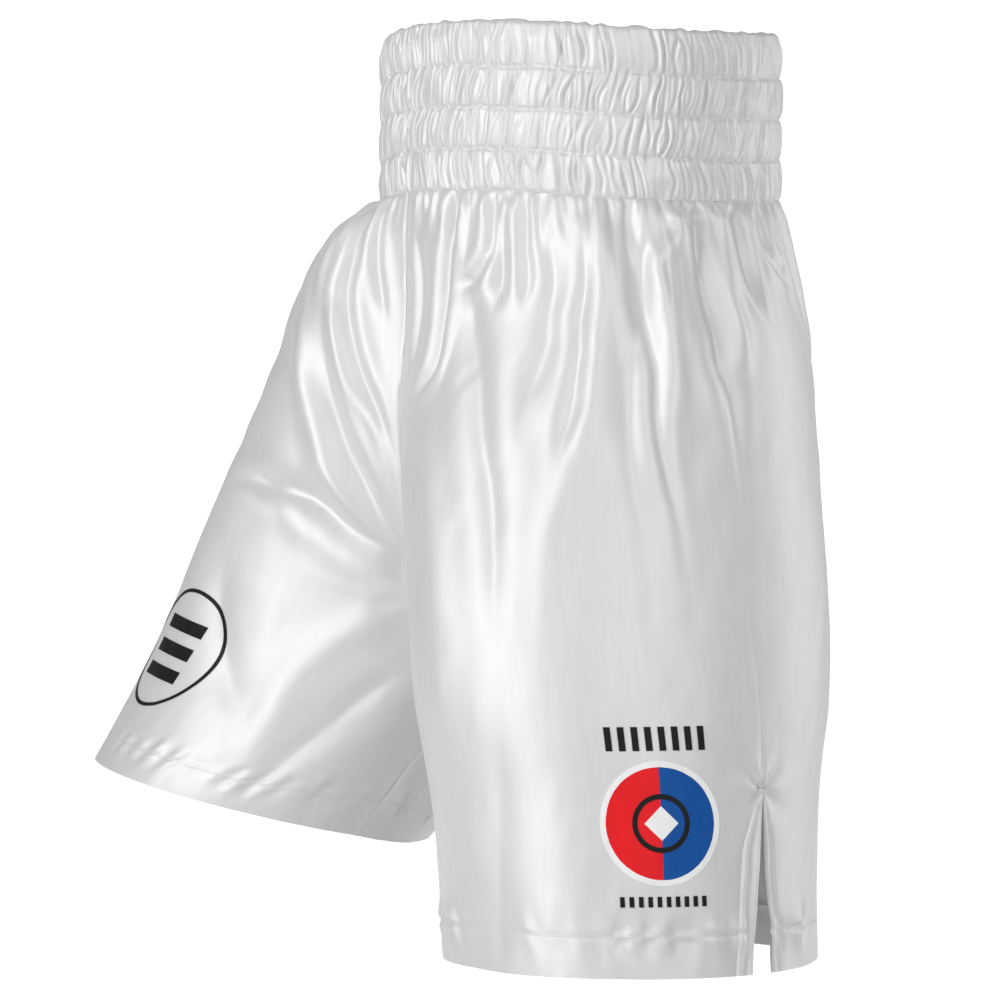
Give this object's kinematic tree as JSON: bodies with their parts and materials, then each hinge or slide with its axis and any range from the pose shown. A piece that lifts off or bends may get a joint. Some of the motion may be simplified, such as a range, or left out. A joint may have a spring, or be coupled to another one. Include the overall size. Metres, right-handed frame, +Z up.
{
  "type": "boxing shorts",
  "caption": "Satin boxing shorts with a deep gathered elastic waistband, long flared legs and a vent at each side seam; the right leg is swung forward and outward.",
  "frame": {"origin": "centre of the waist opening, in the plane of the waistband's top edge", "axes": "+Z up, -Y the wearer's front, +X the wearer's left"},
  "size_m": [0.5291, 0.3811, 0.5626],
  "materials": {
    "satin": "white satin, glossy, woven",
    "thread": "white sewing thread",
    "webbing": "braided elastic",
    "print_white": "white heat-pressed print",
    "print_red": "red heat-pressed print",
    "print_blue": "blue heat-pressed print",
    "print_black": "black heat-pressed print"
  },
  "bodies": {
    "root": {"waistband_cover_left": "satin", "waistband_cover_right": "satin", "elastic_band_1": "webbing", "waist_stitch_1": "thread", "elastic_band_2": "webbing", "waist_stitch_2": "thread", "elastic_band_3": "webbing", "waist_stitch_3": "thread", "elastic_band_4": "webbing", "waist_stitch_4": "thread", "front_panel_left": "satin", "back_panel_left": "satin", "hem_left": "satin", "hem_stitch_left": "thread", "vent_facing_left_front": "satin", "vent_facing_left_back": "satin", "vent_tack_left": "thread", "side_seam_left": "thread", "inside_leg_seam_left": "thread", "front_panel_right": "satin", "back_panel_right": "satin", "hem_right": "satin", "hem_stitch_right": "thread", "vent_facing_right_front": "satin", "vent_facing_right_back": "satin", "vent_tack_right": "thread", "side_seam_right": "thread", "inside_leg_seam_right": "thread", "rise_seam": "thread", "badge_rim": "print_white", "badge_field_red": "print_red", "badge_field_blue": "print_blue", "badge_ring": "print_black", "badge_lozenge": "print_white", "badge_bar_upper": "print_black", "badge_bar_lower": "print_black", "ring_mark": "print_black", "ring_mark_bar_1": "print_black", "ring_mark_bar_2": "print_black", "ring_mark_bar_3": "print_black"}
  },
  "joints": []
}
